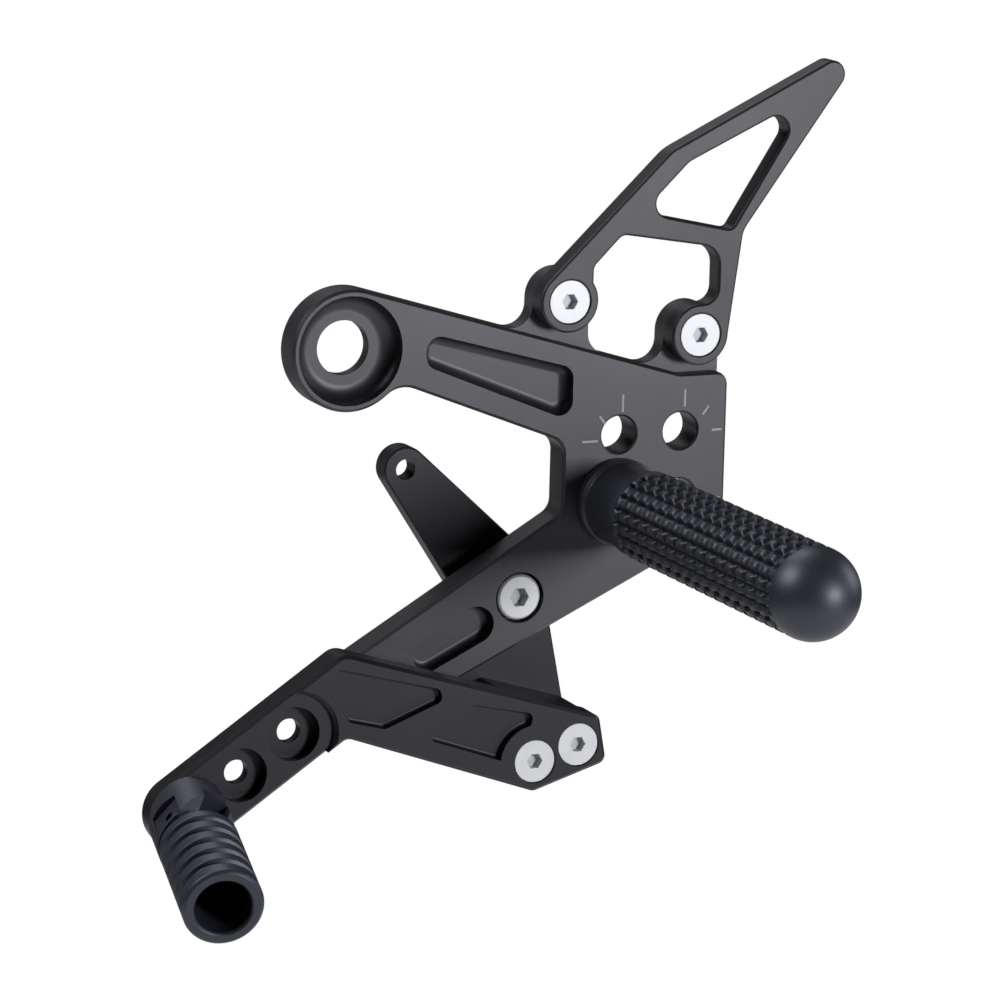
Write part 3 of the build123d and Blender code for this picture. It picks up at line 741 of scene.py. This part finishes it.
class RearsetStage(bpy.types.PropertyGroup):
    """Camera and light."""

    eye: FloatVectorProperty(
        name="Camera",
        description="Place of the camera",
        subtype="XYZ",
        unit="LENGTH",
        size=3,
        default=(-0.46790, -1.15188, 0.22411),
    )
    aim: FloatVectorProperty(
        name="Aim",
        description="Point the camera looks at",
        subtype="XYZ",
        unit="LENGTH",
        size=3,
        default=(0.03729, -0.02822, -0.04001),
    )
    roll: FloatProperty(
        name="Roll", description="Turn of the picture", subtype="ANGLE", default=math.radians(1.4)
    )
    view: FloatProperty(
        name="View", description="Width of the view", subtype="ANGLE", default=math.radians(12.39)
    )
    ambient: FloatProperty(
        name="Ambient", description="Light from all round", default=0.08, min=0.0
    )
    pale: FloatProperty(
        name="Pale",
        description="Share of plain white that the floor shows",
        default=0.85,
        min=0.0,
        max=1.0,
    )
    key: FloatProperty(
        name="Key", description="Power of the lamp at the right front", default=5.1, unit="POWER"
    )
    left: FloatProperty(
        name="Left", description="Power of the lamp at the upper left", default=7.0, unit="POWER"
    )
    right: FloatProperty(
        name="Right", description="Power of the lamp on the right", default=2.0, unit="POWER"
    )
    back: FloatProperty(
        name="Back", description="Power of the lamp above and behind", default=2.5, unit="POWER"
    )
    back_low: FloatProperty(
        name="Low back", description="Power of the lamp low behind", default=0.8, unit="POWER"
    )


def black(context, kind):
    """Finish of one group of dyed pieces, made once."""
    title = "satin_black_" + kind
    found = bpy.data.materials.get(title)
    if found:
        return found
    look = context.scene.rearset_finish
    roughness = look.dull if kind == "peg" else look.satin
    return anodised(title, getattr(look, kind), roughness, look.sheen)


def metal(context, kind):
    """Finish of one bare or plated metal, made once."""
    title, roughness, metallic = METALS[kind]
    found = bpy.data.materials.get(title)
    return found or plated(title, getattr(context.scene.rearset_finish, kind), roughness, metallic)


def paint_socket_shade(piece, material, reach):
    """Paint shade into a screw's socket: a darker finish on what is near the axis and below the top
    of the head.
    """
    mesh = piece.data
    low, high = Vector(mesh.vertices[0].co), Vector(mesh.vertices[0].co)
    for vertex in mesh.vertices:
        low = Vector(map(min, low, vertex.co))
        high = Vector(map(max, high, vertex.co))
    middle = (low + high) / 2
    mesh.materials.append(material)
    for face in mesh.polygons:
        near = math.hypot(face.center.x - middle.x, face.center.z - middle.z) < reach
        if near and low.y + HEAD_SKIN < face.center.y < low.y + SOCKET_DEPTH:
            face.material_index = 1


class REARSET_OT_plate(bpy.types.Operator):
    """Finish the billet plate and the heel guard"""

    bl_idname = "rearset.plate"
    bl_label = "Plate and guard"

    def execute(self, context):
        edge = context.scene.rearset_finish.edge
        dressed("main_plate", "plate", "black_plate", black(context, "plate"), edge)
        dressed("heel_guard", "plate", "black_guard", black(context, "guard"), edge * GUARD_EDGE)
        return {"FINISHED"}


class REARSET_OT_foot_peg(bpy.types.Operator):
    """Make the studded foot peg and finish its spool"""

    bl_idname = "rearset.foot_peg"
    bl_label = "Foot peg"

    def execute(self, context):
        look = context.scene.rearset_knurl
        finish = context.scene.rearset_finish
        x, z, radius, low, high = axis_of("foot_peg")
        reach = high - low - radius
        # Axis, radius, valley depth and end of the studs, for the painted shade between them
        studs = (x, z, radius, look.depth, low + radius)
        dye = anodised("black_studs", finish.peg, finish.dull, finish.sheen, studs)
        group = knurl_group(dye, look)
        values = {
            "Middle X": x,
            "Middle Z": z,
            "Start Y": high,
            "Radius": radius,
            "Reach": reach,
            "Rim": look.rim,
            "Rows": float(look.rows),
            "Ranks": float(look.ranks),
            "Depth": look.depth,
            "Land": look.land,
        }
        peg = grown("foot_peg_studded", group, values)
        outward(peg.data)
        smoothed(peg.data, STUD_CREASE)
        settled(peg, "plate", "black_peg", "foot_peg")
        dressed("peg_spool", "plate", "black_peg", black(context, "peg"), finish.edge)
        return {"FINISHED"}


class REARSET_OT_lever(bpy.types.Operator):
    """Finish the bell crank, the shift lever and the bearing bushes"""

    bl_idname = "rearset.lever"
    bl_label = "Crank and lever"

    def execute(self, context):
        edge = context.scene.rearset_finish.edge
        for node in ("bell_crank", "shift_lever"):
            dressed(node, "lever", "black_lever", black(context, "lever"), edge)
        for node in ("pivot_bush_outer", "pivot_bush_inner"):
            dressed(node, "lever", "bronze", metal(context, "bronze"), edge)
        return {"FINISHED"}


class REARSET_OT_toe(bpy.types.Operator):
    """Finish the knuckle, its pin and the folding toe peg"""

    bl_idname = "rearset.toe"
    bl_label = "Toe peg"

    def execute(self, context):
        edge = context.scene.rearset_finish.edge
        dye = black(context, "peg")
        dressed("toe_knuckle", "lever", "black_peg", dye, edge)
        dressed("toe_peg", "toe", "black_peg", dye, edge)
        dressed("toe_pin", "lever", "zinc", dye, edge * PIN_EDGE)
        return {"FINISHED"}


def threaded(context, node, start):
    """Finish a long screw of the plate, with a drawn thread from a depth to its end."""
    cut = context.scene.rearset_thread
    zinc = metal(context, "zinc")
    edge = context.scene.rearset_finish.edge
    x, z, _, _, high = axis_of(node)
    piece = dressed(node, "plate", "zinc", zinc, edge, cut_y=start + cut.pitch)
    # Painted shade in the screw's socket
    paint_socket_shade(piece, metal(context, "steel"), M8_SOCKET_R)
    group = thread_group(zinc, (high - start) / cut.pitch)
    values = {
        "Middle X": x,
        "Middle Z": z,
        "Start Y": start,
        "Length": high - start,
        "Radius": M8_R,
        "Pitch": cut.pitch,
        "Depth": cut.depth,
        "Point": cut.point,
    }
    thread = grown(node + "_thread", group, values)
    outward(thread.data)
    smoothed(thread.data, FINE_CREASE)
    settled(thread, "plate", "zinc")


class REARSET_OT_screws(bpy.types.Operator):
    """Finish the screws, nut and washers, and cut the threads of the long screws"""

    bl_idname = "rearset.screws"
    bl_label = "Screws"

    def execute(self, context):
        edge = context.scene.rearset_finish.edge
        plain = {
            "plate": [
                "heel_guard_screw_front",
                "heel_guard_screw_rear",
                "peg_washer",
                "peg_bolt",
                "pivot_sleeve",
                "pivot_washer",
                "pivot_nut",
            ],
            "lever": ["lever_screw_front", "lever_screw_rear", "toe_screw"],
        }
        for body, nodes in plain.items():
            for node in nodes:
                piece = dressed(node, body, "zinc", metal(context, "zinc"), edge)
                if "screw" in node:
                    # Painted shade in the screw's socket
                    paint_socket_shade(piece, metal(context, "steel"), M6_SOCKET_R)
        threaded(context, "lower_frame_bolt", PLATE_BACK)
        threaded(context, "pivot_bolt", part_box("pivot_nut")[0].y)
        return {"FINISHED"}


class REARSET_OT_marks(bpy.types.Operator):
    """Cut the index ticks beside the peg holes"""

    bl_idname = "rearset.marks"
    bl_label = "Index ticks"

    def execute(self, context):
        marks = context.scene.rearset_marks
        finish = filled_line("pale_fill", context.scene.rearset_finish.tick)
        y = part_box("main_plate")[0].y + marks.tool - marks.proud
        points = [(end[0] * MM, y, end[1] * MM) for tick in TICKS for end in tick]
        runs = [(2 * i, 2 * i + 1) for i in range(len(TICKS))]
        drawing = bpy.data.meshes.new("tick_runs")
        drawing.from_pydata(points, runs, [])
        ticks = grown("index_ticks", tick_group(finish), {"Tool radius": marks.tool}, drawing)
        outward(ticks.data)
        smoothed(ticks.data, FINE_CREASE)
        settled(ticks, "plate", "black_plate")
        return {"FINISHED"}


def lamp(title, at, aim, width, height, power):
    """Soft white area lamp aimed at a point."""
    data = bpy.data.lights.new(title, "AREA")
    data.shape = "RECTANGLE"
    data.size = width
    data.size_y = height
    data.energy = power
    made = bpy.data.objects.new(title, data)
    bpy.context.scene.collection.objects.link(made)
    made.visible_camera = False
    made.location = at
    made.rotation_mode = "QUATERNION"
    made.rotation_quaternion = (Vector(aim) - Vector(at)).to_track_quat("-Z", "Y")


def seen_white(wire, white, other):
    """Shader that is the white one to the camera and to mirrors, and otherwise another."""
    path = wire.node("ShaderNodeLightPath", out="Is Camera Ray")
    source = path.socket.node
    seen = path
    for name in ("Is Glossy Ray", "Is Transmission Ray"):
        seen = wire.math("MAXIMUM", seen, Wire(wire.tree, source.outputs[name]))
    return wire.node("ShaderNodeMixShader", {}, {0: seen, 1: other, 2: white})


def card(title, corners, material):
    """Flat four-cornered panel of the studio."""
    mesh = bpy.data.meshes.new(title)
    mesh.from_pydata(corners, [], [(0, 1, 2, 3)])
    mesh.materials.append(material)
    panel = placed(title, mesh)
    return panel


def white_world(ambient):
    """World that shows white and lights dimly."""
    world = bpy.data.worlds.new("white_studio")
    world.use_nodes = True
    tree = world.node_tree
    tree.nodes.clear()
    wire = Wire(tree)
    white = wire.node("ShaderNodeBackground", {}, WHITE)
    dim = wire.node("ShaderNodeBackground", {}, {"Color": AMBIENT_COLOUR, "Strength": ambient})
    wire.node("ShaderNodeOutputWorld", {}, {"Surface": seen_white(wire, white, dim)})
    return world


def matt(title, clouds, tones, roughness):
    """Matt paint that clouds between two tones; gives what new_material does."""
    material, wire, shader = new_material(title)
    place = wire.node("ShaderNodeTexCoord", out="Object")
    link(blend_colour(wire, noise(wire, place, *clouds), *tones), shader, "Base Color")
    shader.inputs["Roughness"].default_value = roughness
    return material, wire, shader


def pale_floor(share):
    """Pale paint that shows mostly white and keeps some shadow."""
    material, wire, shader = matt("pale_floor", FLOOR_CLOUDS, FLOOR_TONES, FLOOR_ROUGHNESS)
    painted = Wire(wire.tree, shader.outputs[0])
    glow = wire.node("ShaderNodeEmission", {}, WHITE)
    pale = wire.node("ShaderNodeMixShader", {}, {0: share, 1: painted, 2: glow})
    link(seen_white(wire, pale, painted), wire.tree.nodes["Material Output"], "Surface")
    return material


def level(z, xs, ys):
    """Corners of a level panel."""
    return [(xs[0], ys[0], z), (xs[1], ys[0], z), (xs[1], ys[1], z), (xs[0], ys[1], z)]


def upright(start, end, low, high):
    """Corners of a standing panel between two points (x, y)."""
    return [(*start, low), (*end, low), (*end, high), (*start, high)]


class REARSET_OT_stage(bpy.types.Operator):
    """Set up the white studio, its lamps and the camera"""

    bl_idname = "rearset.stage"
    bl_label = "Studio"

    def execute(self, context):
        scene = context.scene
        stage = scene.rearset_stage
        scene.view_settings.view_transform = "Standard"
        scene.world = white_world(stage.ambient)

        low, high = CAD_BOX
        z = low.z - FLOOR_DROP
        card("studio_floor", level(z, FLOOR_X, FLOOR_Y), pale_floor(stage.pale))
        dark, _, _ = matt("dark_card", CARD_CLOUDS, CARD_TONES, CARD_ROUGHNESS)
        (left, right), (front, back) = CARD_X, CARD_Y
        panels = {
            "card_above": level(CARD_TOP, CARD_X, CARD_Y),
            "card_behind": upright((left, back), (right, back), z, CARD_TOP),
            "card_left": upright((left, front), (left, back), z, CARD_TOP),
            "card_front": upright((left, front), (right, front), z, CARD_TOP),
            "card_right": upright((right, front), (right, back), z, CARD_TOP),
        }
        for title, corners in panels.items():
            card(title, corners, dark).visible_camera = False
        for title, (at, width, height, power) in LAMPS.items():
            lamp(title, at, (low + high) / 2, width, height, getattr(stage, power))

        view = bpy.data.cameras.new("photo_view")
        camera = bpy.data.objects.new("photo_view", view)
        scene.collection.objects.link(camera)
        sight = (Vector(stage.aim) - Vector(stage.eye)).to_track_quat("-Z", "Y")
        camera.rotation_mode = "QUATERNION"
        camera.rotation_quaternion = sight @ Quaternion((0, 0, 1), stage.roll)
        camera.location = stage.eye
        view.sensor_width = SENSOR
        view.lens = SENSOR / 2 / math.tan(stage.view / 2)
        view.clip_start, view.clip_end = CLIP
        scene.camera = camera
        return {"FINISHED"}


class REARSET_PT_panel(bpy.types.Panel):
    """Steps that finish the rearset"""

    bl_label = "Rearset"
    bl_idname = "REARSET_PT_panel"
    bl_space_type = "VIEW_3D"
    bl_region_type = "UI"
    bl_category = "Rearset"

    def draw(self, context):
        column = self.layout.column()
        for step in STEPS:
            column.operator(step.bl_idname)
        for name, group in GROUPS.items():
            for value in group.__annotations__:
                column.prop(getattr(context.scene, name), value)


STEPS = [
    REARSET_OT_stage,
    REARSET_OT_plate,
    REARSET_OT_foot_peg,
    REARSET_OT_lever,
    REARSET_OT_toe,
    REARSET_OT_screws,
    REARSET_OT_marks,
]
GROUPS = {
    "rearset_finish": RearsetFinish,
    "rearset_knurl": RearsetKnurl,
    "rearset_thread": RearsetThread,
    "rearset_marks": RearsetMarks,
    "rearset_stage": RearsetStage,
}


def register():
    for name, group in GROUPS.items():
        bpy.utils.register_class(group)
        setattr(bpy.types.Scene, name, PointerProperty(type=group))
    for step in STEPS:
        bpy.utils.register_class(step)
    bpy.utils.register_class(REARSET_PT_panel)


def unregister():
    bpy.utils.unregister_class(REARSET_PT_panel)
    for step in reversed(STEPS):
        bpy.utils.unregister_class(step)
    for name, group in GROUPS.items():
        delattr(bpy.types.Scene, name)
        bpy.utils.unregister_class(group)


def main():
    register()
    bpy.ops.rearset.stage()
    bpy.ops.rearset.plate()
    bpy.ops.rearset.foot_peg()
    bpy.ops.rearset.lever()
    bpy.ops.rearset.toe()
    bpy.ops.rearset.screws()
    bpy.ops.rearset.marks()


if __name__ == "__main__":
    main()
